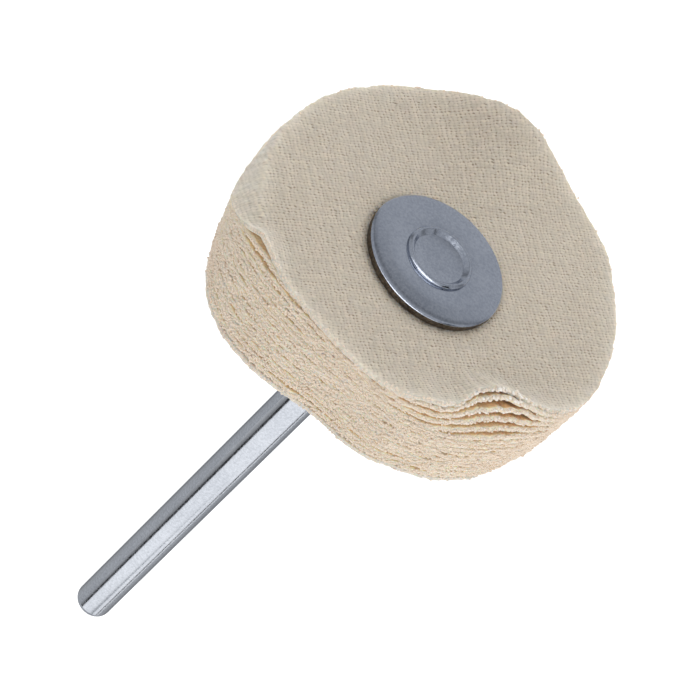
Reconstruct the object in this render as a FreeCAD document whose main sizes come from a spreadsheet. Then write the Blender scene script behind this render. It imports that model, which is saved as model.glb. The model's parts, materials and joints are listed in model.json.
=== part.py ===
import FreeCAD, Part
import math
import os

import Sketcher
from FreeCAD import Rotation, Vector

# A small mounted buff: a stack of round cotton cloth plies, held between two steel washers by a
# steel mandrel whose turned-down neck passes through them and is formed into a dished head.
# +Y runs along the mandrel towards its free end and +Z is up. The origin is on the mandrel's
# axis, at the shoulder where the plain shank starts and the rear washer rests.

# Driving sizes in millimetres and degrees: alias, value, meaning.
SIZES = (
    ("shank_dia", 3.0, "plain shank that a collet grips"),
    ("shank_length", 44.4, "shoulder to the free end"),
    ("tip_round", 0.8, "rounding of the free end"),
    ("neck_dia", 2.0, "turned-down neck through the stack"),
    ("neck_clearance", 0.05, "radial gap between the neck and what it passes through"),
    ("dish_dia", 4.0, "flat floor of the dish in the formed head"),
    ("dish_depth", 0.33, "crest of the head to the floor of the dish"),
    ("dish_slope", 0.3, "run of the dish's sloping wall, from its floor out to the crest"),
    ("crest_width", 0.15, "width of the crest round the dish"),
    ("head_edge", 0.15, "run of the bevel outside the crest"),
    ("head_height", 0.3, "crest of the head above the front washer"),
    ("sink_margin", 0.3, "mouth of the front washer's bore outside the dish's floor"),
    ("washer_dia", 10.9, "outside of both washers"),
    ("washer_thick", 0.8, "thickness of both washers"),
    ("washer_flat_dia", 8.9, "flat middle of a washer's outer face"),
    ("washer_fall", 0.14, "fall of the outer face from the flat to the corner"),
    ("washer_round", 0.3, "rounding of the outer corner"),
    ("ply_count", 17, "number of cloth plies"),
    ("ply_thick", 0.41, "one ply in the stack, with the air in its weave"),
    ("ply_radius", 14.3, "mean radius of the cut cloth"),
    ("ply_offset", 2.0, "distance from the axis to the middle of the cut cloth"),
    ("ply_offset_angle", 275.0, "direction of that distance"),
    ("corner_height", 1.7, "height of the blunt corner left in the outline"),
    ("corner_angle", 132.0, "direction of that corner"),
    ("corner_spread", 24.0, "half width of that corner"),
)
# Lengths that several pieces share, as expressions of the sheet.
STACK = "(2 * sizes.washer_thick + sizes.ply_count * sizes.ply_thick)"
NECK_BORE = "(sizes.neck_dia / 2 + sizes.neck_clearance)"

OUTLINE_POINTS = 36
TOUCH = 0.001


def make_sheet(doc):
    """Put every driving size in one sheet, with its alias beside it."""
    sheet = doc.addObject("Spreadsheet::Sheet", "sizes")
    for row, (alias, value, meaning) in enumerate(SIZES, start=1):
        sheet.set(f"A{row}", alias)
        sheet.set(f"B{row}", str(value))
        sheet.setAlias(f"B{row}", alias)
        sheet.set(f"C{row}", meaning)
    doc.recompute()
    return sheet


def make_body(doc, name):
    body = doc.addObject("PartDesign::Body", name)
    body.Label = name
    return body


def make_sketch(body, name, plane_role):
    """Add a sketch on one of the body's own origin planes."""
    plane = next(f for f in body.Origin.OriginFeatures if f.Role == plane_role)
    sketch = body.newObject("Sketcher::SketchObject", name)
    sketch.AttachmentSupport = [(plane, "")]
    sketch.MapMode = "FlatFace"
    return sketch


def half_profile(body, name, corners):
    """Draw a closed half section whose corners are bound to the sheet.

    Each corner is (radius, distance along the axis), as expressions. Both are measured from the
    origin of the sketch, and a corner on the axis has a radius of "0".
    """
    sketch = make_sketch(body, name, "XY_Plane")
    # A rough closed shape first: the constraints below pull it to size.
    count = len(corners)
    start = [Vector(evaluate(body, r), evaluate(body, y), 0) for r, y in corners]
    for i in range(count):
        sketch.addGeometry(Part.LineSegment(start[i], start[(i + 1) % count]), False)
    for i in range(count):
        sketch.addConstraint(Sketcher.Constraint("Coincident", i, 2, (i + 1) % count, 1))
    for i, (radius, along) in enumerate(corners):
        bind_distance(sketch, "DistanceX", i, radius, start[i].x, zero_axis=-2)
        bind_distance(sketch, "DistanceY", i, along, start[i].y, zero_axis=-1)
    return sketch


def bind_distance(sketch, kind, line, expression, value, zero_axis):
    """Tie the first end of a line to the origin of the sketch, along one direction."""
    if expression == "0":
        sketch.addConstraint(Sketcher.Constraint("PointOnObject", line, 1, zero_axis))
        return
    index = sketch.addConstraint(Sketcher.Constraint(kind, -1, 1, line, 1, value))
    sketch.setExpression(f"Constraints[{index}]", expression)


def evaluate(obj, expression):
    return float(obj.evalExpression(expression))


def revolve(body, sketch, name):
    """Turn a half section about the sketch's own vertical axis."""
    turned = body.newObject("PartDesign::Revolution", name)
    turned.Profile = sketch
    turned.ReferenceAxis = (sketch, ["V_Axis"])
    turned.Angle = 360.0
    sketch.Visibility = False
    return turned


def circle_at(shape, along, radius):
    """Find the round edge at one distance along the axis and of one radius."""
    for i, edge in enumerate(shape.Edges, start=1):
        if not isinstance(edge.Curve, Part.Circle):
            continue
        if math.isclose(edge.CenterOfMass.y, along, abs_tol=TOUCH):
            if math.isclose(edge.Curve.Radius, radius, abs_tol=TOUCH):
                return f"Edge{i}"
    raise RuntimeError(f"no round edge of radius {radius} at {along}")


def round_edge(body, base, edge, name, radius):
    rounded = body.newObject("PartDesign::Fillet", name)
    rounded.Base = (base, [edge])
    rounded.setExpression("Radius", radius)
    base.Visibility = False
    return rounded


def make_mandrel(doc):
    """Shank, neck and formed head in one piece, drawn from the head's crest to the free end."""
    body = make_body(doc, "mandrel")
    dish = "sizes.dish_dia / 2"
    crest_inner = f"({dish} + sizes.dish_slope)"
    crest_outer = f"({crest_inner} + sizes.crest_width)"
    rim = f"({crest_outer} + sizes.head_edge)"
    seat = "sizes.head_height"
    shoulder = f"({seat} + {STACK})"
    free_end = f"({shoulder} + sizes.shank_length)"
    corners = (
        ("0", "sizes.dish_depth"),
        (dish, "sizes.dish_depth"),
        (crest_inner, "0"),
        (crest_outer, "0"),
        (rim, f"{seat} / 2"),
        (rim, seat),
        (f"{dish} + sizes.sink_margin - sizes.neck_clearance", seat),
        ("sizes.neck_dia / 2", f"{seat} + sizes.washer_thick"),
        ("sizes.neck_dia / 2", shoulder),
        ("sizes.shank_dia / 2", shoulder),
        ("sizes.shank_dia / 2", free_end),
        ("0", free_end),
    )
    turned = revolve(body, half_profile(body, "mandrel_section", corners), "mandrel_turned")
    doc.recompute()
    tip_along = evaluate(turned, free_end)
    tip = circle_at(turned.Shape, tip_along, evaluate(turned, "sizes.shank_dia / 2"))
    round_edge(body, turned, tip, "mandrel_tip", "sizes.tip_round")
    body.setExpression(".Placement.Base.y", f"-{shoulder}")
    return body


def make_washer(doc, name, mouth):
    """A pressed washer, drawn from its outer face inwards. The mouth is its bore's radius there."""
    body = make_body(doc, name)
    corners = (
        (mouth, "0"),
        ("sizes.washer_flat_dia / 2", "0"),
        ("sizes.washer_dia / 2", "sizes.washer_fall"),
        ("sizes.washer_dia / 2", "sizes.washer_thick"),
        (NECK_BORE, "sizes.washer_thick"),
    )
    turned = revolve(body, half_profile(body, f"{name}_section", corners), f"{name}_turned")
    doc.recompute()
    fall = evaluate(turned, "sizes.washer_fall")
    corner = circle_at(turned.Shape, fall, evaluate(turned, "sizes.washer_dia / 2"))
    round_edge(body, turned, corner, f"{name}_corner", "sizes.washer_round")
    return body


def make_front_washer(doc):
    """The washer whose bore widens outwards, so that the formed head fills it."""
    body = make_washer(doc, "front_washer", "sizes.dish_dia / 2 + sizes.sink_margin")
    body.setExpression(".Placement.Base.y", f"-{STACK}")
    return body


def make_rear_washer(doc):
    """A plain-bored washer turned round, with its outer face against the shoulder."""
    body = make_washer(doc, "rear_washer", NECK_BORE)
    body.Placement = FreeCAD.Placement(Vector(0, 0, 0), Rotation(Vector(1, 0, 0), 180))
    return body


def outline_radius(sheet, angle):
    """Radius of the cut cloth: a disc off its centre, with one blunt corner."""
    off_centre = sheet.get("ply_offset") * math.cos(math.radians(angle - sheet.get("ply_offset_angle")))
    turn = (angle - sheet.get("corner_angle") + 180.0) % 360.0 - 180.0
    corner = sheet.get("corner_height") * math.exp(-((turn / sheet.get("corner_spread")) ** 2))
    return sheet.get("ply_radius") + off_centre + corner


def outline_curve(sheet):
    """The outline as one smooth closed curve, its angle counted from -X towards +Z."""
    points = []
    for i in range(OUTLINE_POINTS):
        angle = 360.0 * i / OUTLINE_POINTS
        radius = outline_radius(sheet, angle)
        turn = math.radians(angle)
        points.append(Vector(-radius * math.cos(turn), radius * math.sin(turn), 0))
    curve = Part.BSplineCurve()
    curve.interpolate(points, PeriodicFlag=True)
    return curve


def make_ply(doc, sheet, number):
    """One cloth disc with the neck's hole through it, counted from the front washer."""
    name = f"cloth_ply_{number:02d}"
    body = make_body(doc, name)
    sketch = make_sketch(body, f"{name}_outline", "XZ_Plane")
    sketch.addGeometry(outline_curve(sheet), False)
    sketch.addConstraint(Sketcher.Constraint("Block", 0))
    neck_hole = Part.Circle(Vector(0, 0, 0), Vector(0, 0, 1), evaluate(sketch, NECK_BORE))
    hole = sketch.addGeometry(neck_hole, False)
    sketch.addConstraint(Sketcher.Constraint("Coincident", hole, 3, -1, 1))
    bore = sketch.addConstraint(Sketcher.Constraint("Radius", hole, neck_hole.Radius))
    sketch.setExpression(f"Constraints[{bore}]", NECK_BORE)
    pad = body.newObject("PartDesign::Pad", f"{name}_cut")
    pad.Profile = sketch
    pad.setExpression("Length", "sizes.ply_thick")
    pad.Reversed = True
    sketch.Visibility = False
    behind = f"(sizes.ply_count - {number - 1}) * sizes.ply_thick"
    body.setExpression(".Placement.Base.y", f"-(sizes.washer_thick + {behind})")
    return body


def check(doc, pieces):
    """Stop if an object failed to rebuild or a piece has no valid solid."""
    for obj in doc.Objects:
        for fault in ("Invalid", "Error"):
            if fault in obj.State:
                raise RuntimeError(f"{obj.Label} is {fault}")
    for piece in pieces:
        shape = piece.Shape
        if shape.isNull() or not shape.isValid() or len(shape.Solids) != 1:
            raise RuntimeError(f"{piece.Label} is not one valid solid")


def main():
    doc = FreeCAD.newDocument("mounted_buff")
    sheet = make_sheet(doc)
    pieces = [make_mandrel(doc), make_front_washer(doc), make_rear_washer(doc)]
    for number in range(1, int(sheet.get("ply_count")) + 1):
        pieces.append(make_ply(doc, sheet, number))
    doc.recompute()
    check(doc, pieces)
    os.makedirs("parts", exist_ok=True)
    for piece in pieces:
        piece.Shape.exportStep(os.path.join("parts", f"{piece.Label}.step"))
        box = piece.Shape.BoundBox
        print(f"{piece.Label}: {piece.Shape.Volume:.2f} mm3, y {box.YMin:.2f} to {box.YMax:.2f}")


main()
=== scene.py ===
import json
import math

import bpy
import numpy as np
from mathutils import Matrix, Vector


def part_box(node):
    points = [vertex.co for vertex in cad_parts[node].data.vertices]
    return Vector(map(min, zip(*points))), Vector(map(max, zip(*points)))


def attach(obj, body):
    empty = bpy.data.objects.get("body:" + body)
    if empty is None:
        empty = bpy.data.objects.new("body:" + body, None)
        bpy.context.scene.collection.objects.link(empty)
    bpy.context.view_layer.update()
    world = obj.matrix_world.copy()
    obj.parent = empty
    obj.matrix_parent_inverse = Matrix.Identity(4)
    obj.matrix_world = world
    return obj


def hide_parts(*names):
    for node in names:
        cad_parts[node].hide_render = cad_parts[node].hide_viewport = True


# A small mounted buff on a steel mandrel. +Y runs along the shank to its free end, +Z is up.
# Every length in this file is in metres. MM turns millimetres into metres.
MM = 0.001
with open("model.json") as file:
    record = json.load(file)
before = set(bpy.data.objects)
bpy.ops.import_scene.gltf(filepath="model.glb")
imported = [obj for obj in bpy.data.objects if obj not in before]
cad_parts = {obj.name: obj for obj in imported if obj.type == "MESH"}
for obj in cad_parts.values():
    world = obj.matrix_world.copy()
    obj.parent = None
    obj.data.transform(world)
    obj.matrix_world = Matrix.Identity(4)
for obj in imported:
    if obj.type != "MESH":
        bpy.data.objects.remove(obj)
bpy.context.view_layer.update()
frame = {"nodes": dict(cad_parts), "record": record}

# ---------------------------------------------------------------- sizes read from the frame
PLY_NODES = sorted(name for name in frame["nodes"] if name.startswith("cloth_ply"))
MANDREL_LOW, MANDREL_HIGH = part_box("mandrel")
FRONT_LOW, FRONT_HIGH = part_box("front_washer")
REAR_LOW, REAR_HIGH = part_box("rear_washer")
WASHER_RADIUS = FRONT_HIGH.x
HEAD_RADIUS = MANDREL_HIGH.x
CREST_Y = MANDREL_LOW.y
TIP_Y = MANDREL_HIGH.y
FACE_Y = FRONT_LOW.y
SHANK_RADIUS = frame["record"]["mounts"][0]["dims"]["r_mm"] * MM

# ---------------------------------------------------------------- sizes of the finer shapes
NECK_RADIUS = 1.0 * MM
HOLE_RADIUS = 1.05 * MM
DISH_RADIUS = 2.0 * MM
DISH_DEPTH = 0.33 * MM
CREST_INNER = 2.3 * MM
CREST_OUTER = 2.45 * MM
DISH_CROWN = 0.012 * MM
HEAD_SLOPE = 0.15 * MM
HEAD_CLEARANCE = 0.05 * MM
SINK_RADIUS = 2.3 * MM
TIP_ROUND = 0.8 * MM
TIP_STEPS = 8
WORN_CORNER = 0.025 * MM
ROUND_STEPS = 128

PLY_THICK = 0.35 * MM
# The second and third plies are cut a little short, which leaves a shadow under the first.
CUT_SHORT = {2: 0.14 * MM, 3: 0.05 * MM}
PLY_SEGMENTS = 720
SHOWN_RINGS = 54
HIDDEN_RINGS = 15

# The front plies have a margin that is turned down over the rim, widest at the fold.
TURNED_MARGIN = 1.3 * MM
LEAST_MARGIN = 0.02 * MM

# How far from its edge a ply is worn pale, on the two outer plies and inside; and how far past the fold
# the margin is painted pale as painted light.
OUTER_RUB = 0.5 * MM
INNER_RUB = 0.1 * MM
FOLD_LIGHT_REACH = 0.45 * MM

# The painted shadow round the washer reaches this far out from it.
WASHER_SHADOW_REACH = 0.22 * MM

# Each yarn of the weave ends in a few loose threads on the cut edge.
THREAD_LENGTH = 0.2 * MM
FRAYED_LENGTH = 0.25 * MM
THREAD_WIDTH = 0.135 * MM
THREAD_SET_BACK = 0.1 * MM
THREADS_PER_YARN = 3

# Thread spacing of the two directions of the weave, and the turn of the front ply's grain.
WARP_PITCH = 0.229 * MM
WEFT_PITCH = 0.334 * MM
FRONT_GRAIN = 39.0

# The bends of the cloth, as (middle angle, spread before it, spread after it, height in mm).
# Angles are in degrees, counted from -X towards +Z. A height below 0 rises off the face.
FLARE = (258.4, 19.9, 18.4, -2.7)
FAN = (26, 19, 18, -2.1)
RIPPLE = (58, 10.5, 10.5, -0.85)
LIP = (131, 9, 5, -0.85)
CURL = (153, 14, 16, 1.85)
REAR_BULGE = (75, 28, 28, 0.3)
# The first ply comes down on the second beside the fan, by this share of its rise.
SETTLED = (16, 16, 12, 0.28)


# ---------------------------------------------------------------- modelling helpers
def deselect():
    if bpy.context.object and bpy.context.object.mode != "OBJECT":
        bpy.ops.object.mode_set(mode="OBJECT")
    bpy.ops.object.select_all(action="DESELECT")


def activate(obj):
    deselect()
    obj.select_set(True)
    bpy.context.view_layer.objects.active = obj


def apply_modifier(obj, kind, **settings):
    """Add a modifier, set it and apply it."""
    activate(obj)
    modifier = obj.modifiers.new(kind.lower(), kind)
    for name, value in settings.items():
        setattr(modifier, name, value)
    bpy.ops.object.modifier_apply(modifier=modifier.name)


def turned(name, profile, closed):
    """Turn a shape about Y: a ring is added, then extruded and resized along the profile.

    The profile is a list of (radius, y). A closed profile ends where it starts, as a washer's
    does. An open one is capped at both ends.
    """
    deselect()
    radius, along = profile[0]
    bpy.ops.mesh.primitive_circle_add(
        vertices=ROUND_STEPS,
        radius=radius,
        fill_type="NOTHING" if closed else "NGON",
        location=(0, along, 0),
        rotation=(math.radians(90), 0, 0),
    )
    obj = bpy.context.object
    obj.name = name
    bpy.ops.object.transform_apply(location=True, rotation=True, scale=True)
    bpy.ops.object.mode_set(mode="EDIT")
    bpy.ops.mesh.select_all(action="SELECT")
    for next_radius, next_along in profile[1:] + (profile[:1] if closed else []):
        move = {"value": (0, next_along - along, 0)}
        if closed:
            bpy.ops.mesh.extrude_edges_move(TRANSFORM_OT_translate=move)
        else:
            bpy.ops.mesh.extrude_region_move(TRANSFORM_OT_translate=move)
        scale = next_radius / radius
        bpy.ops.transform.resize(value=(scale, 1, scale), center_override=(0, next_along, 0))
        radius, along = next_radius, next_along
    bpy.ops.mesh.select_all(action="SELECT")
    bpy.ops.mesh.remove_doubles(threshold=0.001 * MM)
    bpy.ops.mesh.normals_make_consistent(inside=False)
    bpy.ops.object.mode_set(mode="OBJECT")
    return obj


def soften(obj, width, steps=3, angle=22.0):
    """Round the turned corners and shade the rest smooth."""
    apply_modifier(
        obj,
        "BEVEL",
        width=width,
        segments=steps,
        limit_method="ANGLE",
        angle_limit=math.radians(angle),
        use_clamp_overlap=True,
    )
    activate(obj)
    bpy.ops.object.shade_smooth_by_angle(angle=math.radians(35))


def new_piece(name, points, faces):
    """A new object from its points and its faces."""
    mesh = bpy.data.meshes.new(name)
    mesh.from_pydata(points.reshape(-1, 3).tolist(), [], faces)
    obj = bpy.data.objects.new(name, mesh)
    bpy.context.scene.collection.objects.link(obj)
    return obj


def mark(obj, name, values):
    """Store a number on each point, for the material to read."""
    obj.data.attributes.new(name, "FLOAT", "POINT").data.foreach_set("value", values)


def dress(obj, material):
    """Give a piece its material. All pieces ride on the one body."""
    obj.data.materials.clear()
    obj.data.materials.append(material)
    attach(obj, "root")


# ---------------------------------------------------------------- material helpers
class Graph:
    """A material's node tree, with short calls for the nodes used here."""

    def __init__(self, name):
        self.material = bpy.data.materials.new(name)
        self.material.use_nodes = True
        self.tree = self.material.node_tree
        self.shader = self.tree.nodes["Principled BSDF"]

    def add(self, kind, **settings):
        node = self.tree.nodes.new(kind)
        for name, value in settings.items():
            setattr(node, name, value)
        return node

    def put(self, socket, value):
        """Link an output to a socket, or set a plain value on it."""
        if isinstance(value, bpy.types.NodeSocket):
            self.tree.links.new(value, socket)
        else:
            socket.default_value = value

    def settle(self, **values):
        """Set plain values on the shader. Its socket names are written with _ for a space."""
        for name, value in values.items():
            self.shader.inputs[name.replace("_", " ")].default_value = value

    def read(self, name):
        """What is stored on the points under this name."""
        return self.add("ShaderNodeAttribute", attribute_name=name).outputs["Fac"]

    def object_place(self):
        return self.add("ShaderNodeTexCoord").outputs["Object"]

    def split(self, vector):
        node = self.add("ShaderNodeSeparateXYZ")
        self.put(node.inputs[0], vector)
        return node.outputs

    def math(self, operation, first, second=0.0, third=0.0, clamp=False):
        node = self.add("ShaderNodeMath", operation=operation, use_clamp=clamp)
        for socket, value in zip(node.inputs, (first, second, third)):
            self.put(socket, value)
        return node.outputs[0]

    def noise(self, vector, scale, detail=2.0, roughness=0.5):
        node = self.add("ShaderNodeTexNoise")
        self.put(node.inputs["Vector"], vector)
        node.inputs["Scale"].default_value = scale
        node.inputs["Detail"].default_value = detail
        node.inputs["Roughness"].default_value = roughness
        return node.outputs["Fac"]

    def stretch(self, vector, scale):
        node = self.add("ShaderNodeMapping")
        self.put(node.inputs["Vector"], vector)
        node.inputs["Scale"].default_value = scale
        return node.outputs["Vector"]

    def per_thread(self, line):
        """A number between 0 and 1 for each thread, by chance."""
        node = self.add("ShaderNodeTexWhiteNoise", noise_dimensions="1D")
        self.put(node.inputs["W"], self.math("FLOOR", line))
        return node.outputs["Value"]

    def per_crossing(self, across, along, rounding="FLOOR"):
        """A number between 0 and 1 for each place where two threads cross, by chance."""
        place = self.add("ShaderNodeCombineXYZ")
        self.put(place.inputs[0], self.math(rounding, across))
        self.put(place.inputs[1], self.math(rounding, along))
        node = self.add("ShaderNodeTexWhiteNoise", noise_dimensions="2D")
        self.put(node.inputs["Vector"], place.outputs[0])
        return node.outputs["Value"]

    def range(self, value, low, high, out_low, out_high):
        node = self.add("ShaderNodeMapRange")
        for socket, given in zip(node.inputs, (value, low, high, out_low, out_high)):
            self.put(socket, given)
        return node.outputs[0]

    def mix(self, factor, first, second, blend="MIX"):
        node = self.add("ShaderNodeMix", data_type="RGBA", blend_type=blend)
        self.put(node.inputs[0], factor)
        self.put(node.inputs[6], first)
        self.put(node.inputs[7], second)
        return node.outputs[2]

    def bump(self, height, strength, distance):
        """Let the shader see this height as relief."""
        node = self.add("ShaderNodeBump")
        node.inputs["Strength"].default_value = strength
        node.inputs["Distance"].default_value = distance
        self.put(node.inputs["Height"], height)
        self.put(self.shader.inputs["Normal"], node.outputs["Normal"])


def steel(name, colour, dark, roughness, grain):
    """Satin steel: fine rolled mottling, faint rubs and a worn, uneven polish."""
    graph = Graph(name)
    place = graph.object_place()
    mottle = graph.noise(place, 5200.0, 3.0, 0.65)
    cloud = graph.noise(place, 320.0, 4.0, 0.55)
    rubs = graph.noise(graph.stretch(place, grain), 1.0, 3.0, 0.6)
    shade = graph.math("MULTIPLY_ADD", mottle, 0.7, graph.math("MULTIPLY", cloud, 0.3))
    tone = graph.range(shade, 0.38, 0.62, 0.0, 1.0)
    graph.put(graph.shader.inputs["Base Color"], graph.mix(tone, (*dark, 1), (*colour, 1)))
    graph.put(graph.shader.inputs["Roughness"], graph.range(mottle, 0.35, 0.65, *roughness))
    graph.bump(graph.math("ADD", graph.math("MULTIPLY", mottle, 0.6), rubs), 0.18, 0.01 * MM)
    graph.settle(Metallic=1.0)
    return graph.material


def thread_lines(graph, flat):
    """Where a point of the cloth lies, counted in threads each way. The threads wander a little."""
    wander = graph.noise(flat, 0.55, 2.0)
    jitter = graph.noise(flat, 3.2, 2.0)
    shift = graph.math("MULTIPLY_ADD", wander, 1.6, graph.math("MULTIPLY", jitter, 0.9))
    measured = graph.split(flat)
    across = graph.math("ADD", graph.math("DIVIDE", measured[0], WARP_PITCH / MM), shift)
    along = graph.math("SUBTRACT", graph.math("DIVIDE", measured[1], WEFT_PITCH / MM), shift)
    along = graph.math("MULTIPLY_ADD", graph.noise(flat, 2.3, 2.0), 1.1, along)
    return across, along


def woven_height(graph, across, along):
    """Height of a plain weave: each thread is round, and rises over every second one it crosses."""
    wave_u = graph.math("SINE", graph.math("MULTIPLY", across, math.pi))
    wave_v = graph.math("SINE", graph.math("MULTIPLY", along, math.pi))
    over_u = graph.math("MULTIPLY", graph.math("SIGN", wave_u), wave_v)
    over_v = graph.math("MULTIPLY", graph.math("SIGN", wave_v), wave_u)
    warp = graph.math("MULTIPLY_ADD", over_u, 0.5, graph.math("ABSOLUTE", wave_u))
    weft = graph.math("MULTIPLY_ADD", over_v, -0.5, graph.math("ABSOLUTE", wave_v))
    return graph.math("MAXIMUM", warp, weft)


def cotton(name, thread, hollow, pale, weave):
    """Plain-woven unbleached cotton. The weave follows the cloth's own flat coordinates."""
    graph = Graph(name)
    flat = graph.add("ShaderNodeUVMap", uv_map="cloth").outputs["UV"]
    place = graph.object_place()
    across, along = thread_lines(graph, flat)
    height = woven_height(graph, across, along)
    # Slubs: long thin variations along either thread direction.
    slub_u = graph.noise(graph.stretch(flat, (4.4, 0.35, 1.0)), 1.0, 2.0)
    slub_v = graph.noise(graph.stretch(flat, (0.35, 3.0, 1.0)), 1.0, 2.0)
    slub = graph.math("MULTIPLY", graph.math("ADD", slub_u, slub_v), 0.5)
    # Where the cloth is frayed, or painted pale as painted light at the fold, little of the weave is kept.
    fray_and_fold_light = graph.read("fray_and_fold_light")
    kept = graph.math("MULTIPLY_ADD", fray_and_fold_light, -0.9, 1.0)
    # Each gap between four threads is open by its own amount.
    chance = graph.math("POWER", graph.per_crossing(across, along, "ROUND"), 1.3)
    opened = graph.math("MULTIPLY_ADD", chance, 1.25, 0.25)
    # The holes between the threads take the hollow colour: painted shade in the weave.
    fill = graph.math("MULTIPLY", graph.range(height, 0.05, 0.85, 1.0, 0.0), weave)
    fill = graph.math("MULTIPLY", graph.math("MULTIPLY", fill, opened), kept, clamp=True)
    colour = graph.mix(fray_and_fold_light, (*thread, 1), (*pale, 1))
    colour = graph.mix(fill, colour, (*hollow, 1))
    # What makes the cloth darker or lighter: blotches, a painted highlight on the crowns of the threads,
    # threads that are not spun quite alike, and fluff.
    fluff = graph.noise(place, 5200.0, 3.0, 0.7)
    changes = (
        (graph.noise(place, 130.0, 3.0), 0.3, 0.7, -0.03, 0.03),
        # Painted highlight: the crowns of the weave are lighter, the rest a little darker.
        (height, 0.95, 1.5, -0.03, 0.07),
        (graph.per_thread(across), 0.0, 1.0, -0.015, 0.015),
        (graph.per_thread(along), 0.0, 1.0, -0.015, 0.015),
        (graph.per_crossing(across, along), 0.0, 1.0, -0.06, 0.06),
        (fluff, 0.3, 0.7, -0.035, 0.035),
    )
    tone = graph.range(slub, 0.35, 0.65, 0.93, 1.06)
    for cause, low, high, darker, lighter in changes:
        tone = graph.math("ADD", tone, graph.range(cause, low, high, darker, lighter))
    shade = graph.add("ShaderNodeCombineColor")
    for socket in shade.inputs:
        graph.put(socket, tone)
    colour = graph.mix(1.0, colour, shade.outputs[0], "MULTIPLY")
    # A ragged painted shadow darkens the cloth round the washer, where the washer's shadow falls.
    ragged = graph.range(graph.noise(place, 3800.0, 2.0), 0.35, 0.65, 0.35, 1.5)
    washer_shadow = graph.math("MULTIPLY", graph.read("washer_shadow"), ragged, clamp=True)
    colour = graph.mix(washer_shadow, colour, (0.10, 0.075, 0.05, 1))
    graph.put(graph.shader.inputs["Base Color"], colour)
    relief = graph.math("MULTIPLY", graph.math("MULTIPLY", height, kept), 0.7)
    relief = graph.math("ADD", relief, graph.math("MULTIPLY", slub, 0.8))
    relief = graph.math("ADD", relief, graph.math("MULTIPLY", fluff, 0.35))
    graph.bump(relief, 0.8, 0.06 * MM)
    graph.settle(Roughness=0.92, Specular_IOR_Level=0.2, Sheen_Weight=0.25, Sheen_Roughness=0.5)
    # Light goes a little way through the cloth and comes out warmer.
    graph.settle(Subsurface_Weight=0.75, Subsurface_Radius=(1.0, 0.68, 0.42), Subsurface_Scale=0.6 * MM)
    return graph.material


def yarn(name, thread, hollow):
    """The cut ends of the threads: soft, fibrous and lighter where they have fluffed out."""
    graph = Graph(name)
    place = graph.object_place()
    fibre = graph.noise(place, 9000.0, 3.0, 0.7)
    patch = graph.noise(place, 420.0, 2.0)
    tone = graph.math("MULTIPLY_ADD", fibre, 0.6, graph.math("MULTIPLY", patch, 0.4))
    factor = graph.range(tone, 0.35, 0.65, 0.0, 1.0)
    colour = graph.mix(factor, (*hollow, 1), (*thread, 1))
    colour = graph.mix(graph.read("worn"), colour, (0.95, 0.92, 0.87, 1))
    graph.put(graph.shader.inputs["Base Color"], colour)
    graph.bump(fibre, 0.5, 0.015 * MM)
    graph.settle(Roughness=0.95, Specular_IOR_Level=0.15, Sheen_Weight=0.35, Sheen_Roughness=0.5)
    return graph.material


# ---------------------------------------------------------------- metal pieces
def make_mandrel(satin, polished):
    """The shank, the neck inside the stack and the formed head with its dish."""
    shoulder = REAR_HIGH.y
    profile = [
        (DISH_RADIUS * 0.5, CREST_Y + DISH_DEPTH + DISH_CROWN),
        (DISH_RADIUS, CREST_Y + DISH_DEPTH),
        (CREST_INNER, CREST_Y),
        (CREST_OUTER, CREST_Y),
        (HEAD_RADIUS, CREST_Y + HEAD_SLOPE),
        (HEAD_RADIUS, FACE_Y),
        (SINK_RADIUS - HEAD_CLEARANCE, FACE_Y),
        (NECK_RADIUS, FRONT_HIGH.y),
        (NECK_RADIUS, shoulder),
        (SHANK_RADIUS, shoulder),
        (SHANK_RADIUS, (shoulder + TIP_Y) / 2),
        (SHANK_RADIUS, TIP_Y - TIP_ROUND),
    ]
    # The free end is a quarter round.
    for i in range(1, TIP_STEPS + 1):
        turn = math.radians(90 * i / TIP_STEPS)
        inset = TIP_ROUND * (1 - math.cos(turn))
        profile.append((SHANK_RADIUS - inset, TIP_Y - TIP_ROUND * (1 - math.sin(turn))))
    obj = turned("buff_mandrel", profile, closed=False)
    soften(obj, WORN_CORNER)
    dress(obj, polished)
    obj.data.materials.append(satin)
    for polygon in obj.data.polygons:
        if polygon.center.y < FRONT_HIGH.y:
            polygon.material_index = 1
    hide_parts("mandrel")


def make_washer(name, node, outer, inner, mouth, material, edge_material):
    """A pressed washer. Outer and inner are the y of its two faces, mouth its bore outside."""
    inwards = 1 if inner > outer else -1
    thick = abs(inner - outer)

    def at(radius, depth):
        return (radius, outer + inwards * depth)

    profile = [
        at(mouth, 0),
        at(WASHER_RADIUS * 0.68, 0),
        at(WASHER_RADIUS * 0.77, 0.015 * MM),
        at(WASHER_RADIUS * 0.84, 0.06 * MM),
        at(WASHER_RADIUS * 0.91, 0.075 * MM),
        at(WASHER_RADIUS - 0.14 * MM, 0.13 * MM),
        at(WASHER_RADIUS, 0.25 * MM),
        at(WASHER_RADIUS, thick - 0.05 * MM),
        at(WASHER_RADIUS - 0.05 * MM, thick),
        at(HOLE_RADIUS, thick),
    ]
    obj = turned(name, profile, closed=True)
    soften(obj, WORN_CORNER, steps=2, angle=30)
    dress(obj, material)
    # The outer wall takes the second, dark material: painted shade on the washer's edge.
    obj.data.materials.append(edge_material)
    for polygon in obj.data.polygons:
        if Vector((polygon.center.x, polygon.center.z)).length > WASHER_RADIUS - 0.01 * MM:
            polygon.material_index = 1
    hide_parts(node)


# ---------------------------------------------------------------- shape of the cloth
# Depth is 0 at the front ply, 1 at the rear.
def is_outer(number):
    """Whether this is the first or the last ply, whose flat side is seen."""
    return number in (1, len(PLY_NODES))


def hump(angle, middle, before, after):
    """A smooth hump of height 1, with its own spread on each side."""
    turn = (angle - middle + 180.0) % 360.0 - 180.0
    return np.exp(-((turn / np.where(turn < 0, before, after)) ** 2))


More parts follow.
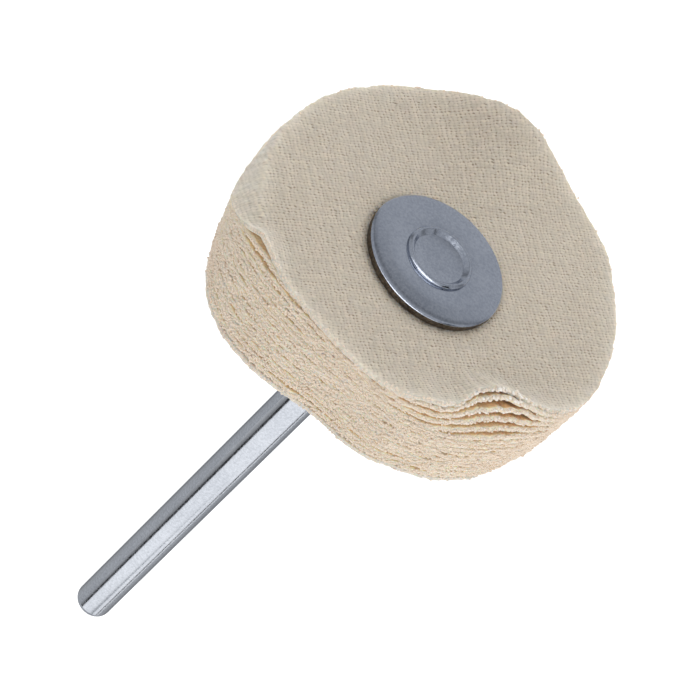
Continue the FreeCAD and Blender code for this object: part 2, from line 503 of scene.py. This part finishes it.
def bend(angle, shape):
    """One of the named bends, in millimetres, at each angle."""
    middle, before, after, height = shape
    return height * hump(angle, middle, before, after)


def fade(depth, reach, power=1.0):
    """1 at the front ply, falling to 0 at the depth given as reach."""
    return np.clip(1.0 - depth / reach, 0.0, 1.0) ** power


def outline(angle, depth):
    """Radius of a ply's cut edge."""
    radius = 14.17 + 2.0 * np.cos(np.radians(angle - 275.0))
    # A blunt corner that walks round the stack from front to back.
    radius = radius + (2.0 + 0.22 * depth) * hump(angle, 142 - 18 * depth, 25 + 5 * depth, 25)
    # A second corner beside the big flare, and a slight fullness in the middle plies.
    radius = radius + 0.74 * hump(angle, 296, 13.5, 13.5)
    radius = radius + 0.3 * math.sin(math.pi * min(1.0, depth * 1.4)) * hump(angle, 178, 15, 15)
    # The rear plies are trimmed a little closer on the two nearer sides.
    radius = radius - depth * (0.5 * hump(angle, 84, 15, 15) + 0.28 * hump(angle, 8, 12, 12))
    radius = radius + depth * 0.25 * (hump(angle, 38, 14, 14) + hump(angle, 63, 8, 8))
    radius = radius - 0.05 * hump(angle, 345, 30, 25) - 0.1 * hump(angle, 200, 18, 18)
    radius = radius + 0.2 * hump(angle, 280, 12, 8)
    # The first ply hangs a little over the next ones, and the front plies have a worn bite.
    overhang = 0.32 * hump(angle, 95, 32, 28) + 0.2 * hump(angle, 146, 12, 12)
    radius = radius + fade(depth, 0.06) * overhang
    radius = radius - 2.3 * fade(depth, 0.32, 1.15) * hump(angle, 36, 21, 12.5)
    return radius * MM


def turned_margin(angle):
    """Width of the margin that is turned down over the rim behind a soft fold."""
    return TURNED_MARGIN * hump(angle, 145, 30, 19) + LEAST_MARGIN


def lift(angle, depth, out, from_edge):
    """How far the cloth leaves its flat place along Y. Out is 0 at the washer, 1 at the edge."""
    late = np.clip((out - 0.55) / 0.45, 0, 1) ** 1.4
    last = np.clip((out - 0.72) / 0.28, 0, 1) ** 1.6
    whole = np.clip(out, 0, 1) ** 1.7
    flare = bend(angle, FLARE) * (1 - 0.2 * depth) * whole
    settled = 1 - bend(angle, SETTLED) * fade(depth, 0.06)
    fan = bend(angle, FAN) * fade(depth, 1.0, 1.5) * settled * late
    ripple = bend(angle, RIPPLE) * fade(depth, 0.25) * late
    lip = bend(angle, LIP) * fade(depth, 0.085) * last
    turned_down = np.clip(1 - from_edge / turned_margin(angle), 0, 1) ** 1.15
    curl = bend(angle, CURL) * (1 - depth) * turned_down
    rear = bend(angle, REAR_BULGE) * min(1.0, max(0.0, depth - 0.8) * 6) * last
    return (flare + fan + ripple + lip + curl + rear) * MM


def ring_noise(random, angle, counts, size):
    """Uneven wander round the edge: a few waves of random turn."""
    total = np.zeros_like(angle)
    for count in counts:
        height = random.uniform(0.4, 1.0)
        start = random.uniform(0, 2 * math.pi)
        total += height * np.sin(np.radians(angle * count) + start)
    return size * total / math.sqrt(len(counts))


def ply_rings(number):
    """Shares of the way from the hole to the edge, closer together towards the edge."""
    share = np.linspace(0, 1, SHOWN_RINGS if is_outer(number) else HIDDEN_RINGS)
    return 1 - (1 - share) ** 1.6


class Ply:
    """One cloth disc: where its points are, for the sheet and for its thread ends."""

    def __init__(self, number):
        self.number = number
        self.depth = (number - 1) / (len(PLY_NODES) - 1)
        low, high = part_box(PLY_NODES[number - 1])
        self.middle = (low.y + high.y) / 2
        self.random = np.random.default_rng(100 + number)
        self.grain = FRONT_GRAIN if number == 1 else self.random.uniform(0, 180)
        self.angle = np.arange(PLY_SEGMENTS) * 360.0 / PLY_SEGMENTS
        edge = outline(self.angle, self.depth)
        edge -= CUT_SHORT.get(number, 0.0) * hump(self.angle, 95, 35, 45)
        edge += ring_noise(self.random, self.angle, (9, 14, 23, 31), 0.055 * MM)
        edge += ring_noise(self.random, self.angle, (53, 71, 97, 118), 0.035 * MM)
        edge += ring_noise(self.random, self.angle, (173, 211, 257, 301), 0.022 * MM)
        # Where the wheel has worn through, the edges are more ragged and the plies wave.
        torn = hump(self.angle, 33, 20, 16) * fade(self.depth, 0.4)
        edge -= torn * np.abs(ring_noise(self.random, self.angle, (47, 67, 89, 113), 0.22 * MM))
        self.edge = edge
        sway = 0.03 * MM if is_outer(number) else 0.055 * MM
        self.wobble = ring_noise(self.random, self.angle, (5, 11, 19, 37, 61), sway) * (1 + 1.8 * torn)
        self.torn = torn

    def points(self, share):
        """Points on one ring, at a share of the way from the hole to the edge."""
        radius = HOLE_RADIUS + share * (self.edge - HOLE_RADIUS)
        out = (radius - WASHER_RADIUS) / (self.edge - WASHER_RADIUS)
        turn = np.radians(self.angle)
        sway = 0.10 * MM * np.sin(3 * turn + 0.6) + 0.06 * MM * np.sin(5 * turn + 2.0)
        free = np.clip(out, 0, 1)
        from_edge = self.edge - radius
        along = self.middle + lift(self.angle, self.depth, out, from_edge)
        along = along + (sway + self.wobble) * free
        return np.stack([-radius * np.cos(turn), along, radius * np.sin(turn)], axis=-1)

    def flat(self, rings):
        """The rings on the cloth laid flat, in millimetres, along warp and weft."""
        steps = np.linalg.norm(np.diff(rings, axis=0), axis=-1)
        radius = HOLE_RADIUS + np.concatenate([np.zeros_like(steps[:1]), steps.cumsum(axis=0)])
        turn = np.radians(self.angle - self.grain)
        return np.stack([radius * np.cos(turn), radius * np.sin(turn)], axis=-1) / MM


def grid_faces(rings, segments):
    """Quads between rings of points that close on themselves."""
    ring = np.arange(rings - 1)[:, None] * segments
    here = np.arange(segments)[None, :]
    after = (here + 1) % segments
    faces = np.stack([ring + here, ring + after, ring + segments + after, ring + segments + here], axis=-1)
    return faces.reshape(-1, 4)


def edge_wear_and_fold_light(ply, shares):
    """How far each point has lost its weave and turned pale: worn at the cut edge, and painted light along
    the fold.
    """
    from_edge = np.concatenate([(1 - share) * (ply.edge - HOLE_RADIUS) for share in shares])
    edge = np.exp(-from_edge / (OUTER_RUB if is_outer(ply.number) else INNER_RUB))
    # The turned-down margin and a band past the fold are painted as pale as the edge: painted light on
    # cloth that turns away from the lamps.
    angle = np.tile(ply.angle, len(shares))
    folded = hump(angle, 153, 15, 14) * (1 - ply.depth)
    past_fold = np.exp(-(np.maximum(from_edge - turned_margin(angle), 0) / FOLD_LIGHT_REACH))
    return edge * (1 - folded) + 0.8 * past_fold * folded


def make_ply(number, material):
    """One ply as a closed sheet of cloth, with its weave laid out flat."""
    ply = Ply(number)
    shares = ply_rings(number)
    rings = np.stack([ply.points(share) for share in shares])
    obj = new_piece(f"ply_{number:02d}", rings, grid_faces(len(shares), PLY_SEGMENTS).tolist())
    flat = ply.flat(rings).reshape(-1, 2)
    corners = np.zeros(len(obj.data.loops), dtype=np.int32)
    obj.data.loops.foreach_get("vertex_index", corners)
    obj.data.uv_layers.new(name="cloth").data.foreach_set("uv", flat[corners].ravel())
    # Wear at the cut edge and painted light at the fold, stored on the points.
    mark(obj, "fray_and_fold_light", edge_wear_and_fold_light(ply, shares))
    # Painted shadow: a dark ring stored on the points just outside the washer.
    past_washer = np.linalg.norm(rings[:, :, (0, 2)], axis=-1).ravel() - WASHER_RADIUS
    mark(obj, "washer_shadow", 0.55 * np.exp(-((np.maximum(past_washer, 0) / WASHER_SHADOW_REACH) ** 2)))
    apply_modifier(obj, "SOLIDIFY", thickness=PLY_THICK, offset=0.0, use_even_offset=True)
    activate(obj)
    bpy.ops.object.shade_smooth()
    dress(obj, material)
    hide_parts(PLY_NODES[number - 1])
    return obj, ply


# ---------------------------------------------------------------- thread ends
def thread_template():
    """A short cut thread along +X that swells where its fibres have opened, and closes."""
    deselect()
    bpy.ops.mesh.primitive_circle_add(
        vertices=5, radius=0.5, fill_type="NGON", rotation=(0, math.radians(90), 0)
    )
    obj = bpy.context.object
    bpy.ops.object.transform_apply(location=False, rotation=True, scale=False)
    bpy.ops.object.mode_set(mode="EDIT")
    bpy.ops.mesh.select_all(action="SELECT")
    for step, scale in ((0.55, 1.25), (0.3, 1.0), (0.15, 0.45)):
        bpy.ops.mesh.extrude_region_move(TRANSFORM_OT_translate={"value": (step, 0, 0)})
        bpy.ops.transform.resize(value=(1, scale, scale))
    bpy.ops.mesh.select_all(action="SELECT")
    bpy.ops.mesh.normals_make_consistent(inside=False)
    bpy.ops.object.mode_set(mode="OBJECT")
    points = np.array([vertex.co[:] for vertex in obj.data.vertices])
    faces = [np.array(polygon.vertices[:]) for polygon in obj.data.polygons]
    bpy.data.objects.remove(obj)
    return points, faces


def unit(vectors):
    return vectors / np.linalg.norm(vectors, axis=-1, keepdims=True)


def thread_places(ply):
    """Where the threads of the weave meet the cut edge, and the heading in which each leaves."""
    turn = np.radians(ply.angle - ply.grain)
    flat = np.stack([np.cos(turn), np.sin(turn)], axis=-1) * ply.edge[:, None]
    places, headings = [], []
    for axis, pitch in ((0, WARP_PITCH), (1, WEFT_PITCH)):
        line = np.floor(flat[:, axis] / pitch * THREADS_PER_YARN)
        crossing = np.nonzero(line != np.roll(line, -1))[0]
        leaving = np.where(flat[crossing, 1 - axis] > 0, 0.0, 180.0)
        places.append(crossing)
        headings.append(leaving + ply.grain + (90.0 if axis == 0 else 0.0))
    return np.concatenate(places), np.concatenate(headings)


def make_threads(ply, template, material):
    """The cut thread ends all round one ply, as one piece."""
    points, faces = template
    random = ply.random
    index, heading = thread_places(ply)
    count = len(index)
    turn = np.radians(heading + random.normal(0, 12, count))
    ring = ply.points(1.0)[index]
    radial = unit(ring * np.array([1, 0, 1]))
    forward = np.stack([-np.cos(turn), np.zeros(count), np.sin(turn)], axis=-1)
    # A thread that would run along the edge is turned out of the cloth.
    forward = forward * 0.5 + radial * 0.9
    forward[:, 1] += random.normal(0, 0.2, count)
    forward = unit(forward)
    side = unit(np.cross(forward, [0, 1, 0]))
    upward = np.cross(side, forward)
    worn = ply.torn[index]
    length = THREAD_LENGTH + (FRAYED_LENGTH - THREAD_LENGTH) * worn
    length = length * (0.8 + 0.45 * random.random(count) ** 2)
    if is_outer(ply.number):
        length = length * (0.55 + 0.45 * worn)
    width = THREAD_WIDTH * random.uniform(0.75, 1.25, count)
    start = ring - radial * THREAD_SET_BACK
    start[:, 1] += random.normal(0, 0.1, count) * MM
    bend = random.normal(0, 0.2, count) * length
    reach = points[None, :, 0] * length[:, None]
    across = points[None, :, 1] * width[:, None] + bend[:, None] * points[None, :, 0] ** 2
    rise = points[None, :, 2] * width[:, None]
    placed = start[:, None] + reach[..., None] * forward[:, None]
    placed = placed + across[..., None] * side[:, None] + rise[..., None] * upward[:, None]
    offsets = np.arange(count) * len(points)
    all_faces = []
    for face in faces:
        all_faces.extend((offsets[:, None] + face[None, :]).tolist())
    obj = new_piece(f"threads_{ply.number:02d}", placed, all_faces)
    white = np.clip(worn * 1.3 * random.random(count) ** 1.5, 0, 0.9)
    mark(obj, "worn", np.repeat(white, len(points)))
    activate(obj)
    bpy.ops.object.shade_smooth()
    dress(obj, material)
    return obj


# ---------------------------------------------------------------- stage
def make_floor():
    """A plain white floor well below the part, so that it throws almost no shadow."""
    deselect()
    bpy.ops.mesh.primitive_plane_add(size=6.0, location=(0, 0, -0.14))
    floor = bpy.context.object
    floor.name = "studio_floor"
    graph = Graph("white_floor")
    graph.settle(Base_Color=(0.86, 0.86, 0.86, 1), Roughness=1.0, Specular_IOR_Level=0.0)
    graph.settle(Emission_Color=(1, 1, 1, 1), Emission_Strength=0.5)
    floor.data.materials.append(graph.material)
    # The steel reflects the grey room and not the bright floor.
    floor.visible_glossy = False


def make_room():
    """A pale room. Below the horizon, where only the steel sees it, is a darker stretch of wall."""
    world = bpy.data.worlds.new("studio")
    bpy.context.scene.world = world
    world.use_nodes = True
    tree = world.node_tree
    sky = tree.nodes["Background"]
    sky.inputs["Strength"].default_value = 0.55
    split = tree.nodes.new("ShaderNodeSeparateXYZ")
    tree.links.new(tree.nodes.new("ShaderNodeTexCoord").outputs["Generated"], split.inputs[0])
    height = tree.nodes.new("ShaderNodeMapRange")
    height.inputs["From Min"].default_value = -1.0
    tree.links.new(split.outputs["Z"], height.inputs["Value"])
    ramp = tree.nodes.new("ShaderNodeValToRGB")
    tree.links.new(height.outputs["Result"], ramp.inputs["Fac"])
    tree.links.new(ramp.outputs["Color"], sky.inputs["Color"])
    stops = ramp.color_ramp.elements
    stops[0].color = (1.02, 1.05, 1.09, 1)
    stops[1].color = (0.93, 0.96, 1.0, 1)
    for place, level in ((0.125, 1.04), (0.155, 0.98), (0.23, 0.42), (0.33, 0.85), (0.5, 1.0)):
        stops.new(place).color = (0.93 * level, 0.96 * level, level, 1)


def soft_light(name, low, high, radiance):
    """A soft light the size of a rectangle from low to high, with a given brightness."""
    data = bpy.data.lights.new(name, "AREA")
    data.shape = "RECTANGLE"
    data.size = high[0] - low[0]
    data.size_y = high[1] - low[1]
    data.energy = radiance * data.size * data.size_y * math.pi
    light = bpy.data.objects.new(name, data)
    bpy.context.scene.collection.objects.link(light)
    middle = ((low[0] + high[0]) / 2, (low[1] + high[1]) / 2)
    return light, middle


def overhead_panel(name, low, high, height, radiance):
    """A level soft light that covers a rectangle of (x, y) above the part."""
    light, middle = soft_light(name, low, high, radiance)
    light.location = (*middle, height)


def side_panel(name, low, high, side, radiance):
    """An upright soft light that covers a rectangle of (y, z) on one side, facing the part."""
    light, middle = soft_light(name, low, high, radiance)
    light.location = (side, *middle)
    light.rotation_euler = (math.radians(90), 0, math.radians(-90 if side < 0 else 90))


def dark_card(name, place, size, turn=0.0, shades=(0.01, 0.01)):
    """A long card along Y, seen only as a dark line or band that the steel reflects.

    The shades are those of its two long edges, and it is graded from one to the other.
    """
    deselect()
    bpy.ops.mesh.primitive_plane_add(size=1.0, location=place, rotation=(0, math.radians(turn), 0))
    card = bpy.context.object
    card.name = name
    card.scale = (*size, 1)
    graph = Graph("black_card")
    shade = graph.range(graph.split(graph.object_place())[0], -0.5, 0.5, *shades)
    graph.put(graph.shader.inputs["Base Color"], shade)
    graph.settle(Roughness=1.0, Specular_IOR_Level=0.0)
    card.data.materials.append(graph.material)
    card.visible_camera = False


def make_camera():
    """The camera looks down on the face at about 46 degrees to the shank, rolled to the left."""
    data = bpy.data.cameras.new("camera")
    data.sensor_width = 36.0
    data.lens = 167.7
    camera = bpy.data.objects.new("camera", data)
    bpy.context.scene.collection.objects.link(camera)
    right = Vector((-0.7027, -0.5148, -0.4912)).normalized()
    back = Vector((0.0, -0.6903, 0.7235)).normalized()
    above = back.cross(right).normalized()
    right = above.cross(back)
    camera.matrix_world = Matrix.Translation(Vector((-0.16, -159.25, 170.87)) * MM) @ Matrix(
        (right, above, back)
    ).transposed().to_4x4()
    bpy.context.scene.camera = camera
    bpy.context.scene.view_settings.view_transform = "Standard"


# ---------------------------------------------------------------- the part
make_camera()
make_floor()
make_room()
overhead_panel("soft_panel", low=(-0.75, -0.5), high=(0.18, 0.9), height=0.42, radiance=0.72)
overhead_panel("front_strip", low=(-0.3, -0.47), high=(0.7, -0.37), height=0.41, radiance=2.6)
side_panel("side_panel", low=(-0.2, -0.12), high=(1.3, 0.42), side=-0.75, radiance=0.72)
dark_card("upper_card", place=(0.25, 0.3, 0.42), size=(0.14, 1.2))
dark_card("graded_card", place=(0.62, 0.3, 0.42), size=(0.6, 1.2), shades=(0.3, 0.75))
dark_card("side_card", place=(-0.745, 0.55, 0.03), size=(0.1, 1.5), turn=90)
dark_card("front_card", place=(-0.75, -0.42, 0.16), size=(0.3, 0.3), turn=90)

washer_steel = steel(
    "satin_washer",
    colour=(0.51, 0.54, 0.61),
    dark=(0.38, 0.41, 0.48),
    roughness=(0.13, 0.22),
    grain=(220, 220, 220),
)
# Dark brown steel for the washer's outer wall: painted shade and a painted reflection of the shadowed
# cloth beside it.
edge_shade_steel = steel(
    "washer_edge_painted_shade",
    colour=(0.20, 0.165, 0.13),
    dark=(0.05, 0.04, 0.032),
    roughness=(0.5, 0.7),
    grain=(300, 1500, 300),
)
shank_steel = steel(
    "ground_shank",
    colour=(0.625, 0.645, 0.685),
    dark=(0.49, 0.51, 0.55),
    roughness=(0.12, 0.2),
    grain=(900, 60, 900),
)
face_cloth = cotton(
    "face_muslin",
    thread=(0.572, 0.50, 0.405),
    hollow=(0.19, 0.13, 0.077),
    pale=(0.69, 0.63, 0.53),
    weave=1.0,
)
# The inner plies are the same muslin in brighter ochre colours: painted light for the light that comes
# through the plies into the gaps between them.
inner_cloth_painted_light = cotton(
    "inner_muslin_painted_light",
    thread=(0.88, 0.62, 0.34),
    hollow=(0.78, 0.51, 0.25),
    pale=(0.92, 0.76, 0.57),
    weave=0.8,
)
cut_yarn = yarn("cut_yarn", thread=(0.88, 0.757, 0.622), hollow=(0.79, 0.652, 0.513))

make_mandrel(washer_steel, shank_steel)
for name, node, outer, inner, mouth in (
    ("front_plate", "front_washer", FACE_Y, FRONT_HIGH.y, SINK_RADIUS),
    ("rear_plate", "rear_washer", REAR_HIGH.y, REAR_LOW.y, HOLE_RADIUS),
):
    make_washer(name, node, outer, inner, mouth, washer_steel, edge_shade_steel)

template = thread_template()
for number in range(1, len(PLY_NODES) + 1):
    cloth = face_cloth if is_outer(number) else inner_cloth_painted_light
    sheet_piece, ply = make_ply(number, cloth)
    make_threads(ply, template, cut_yarn)
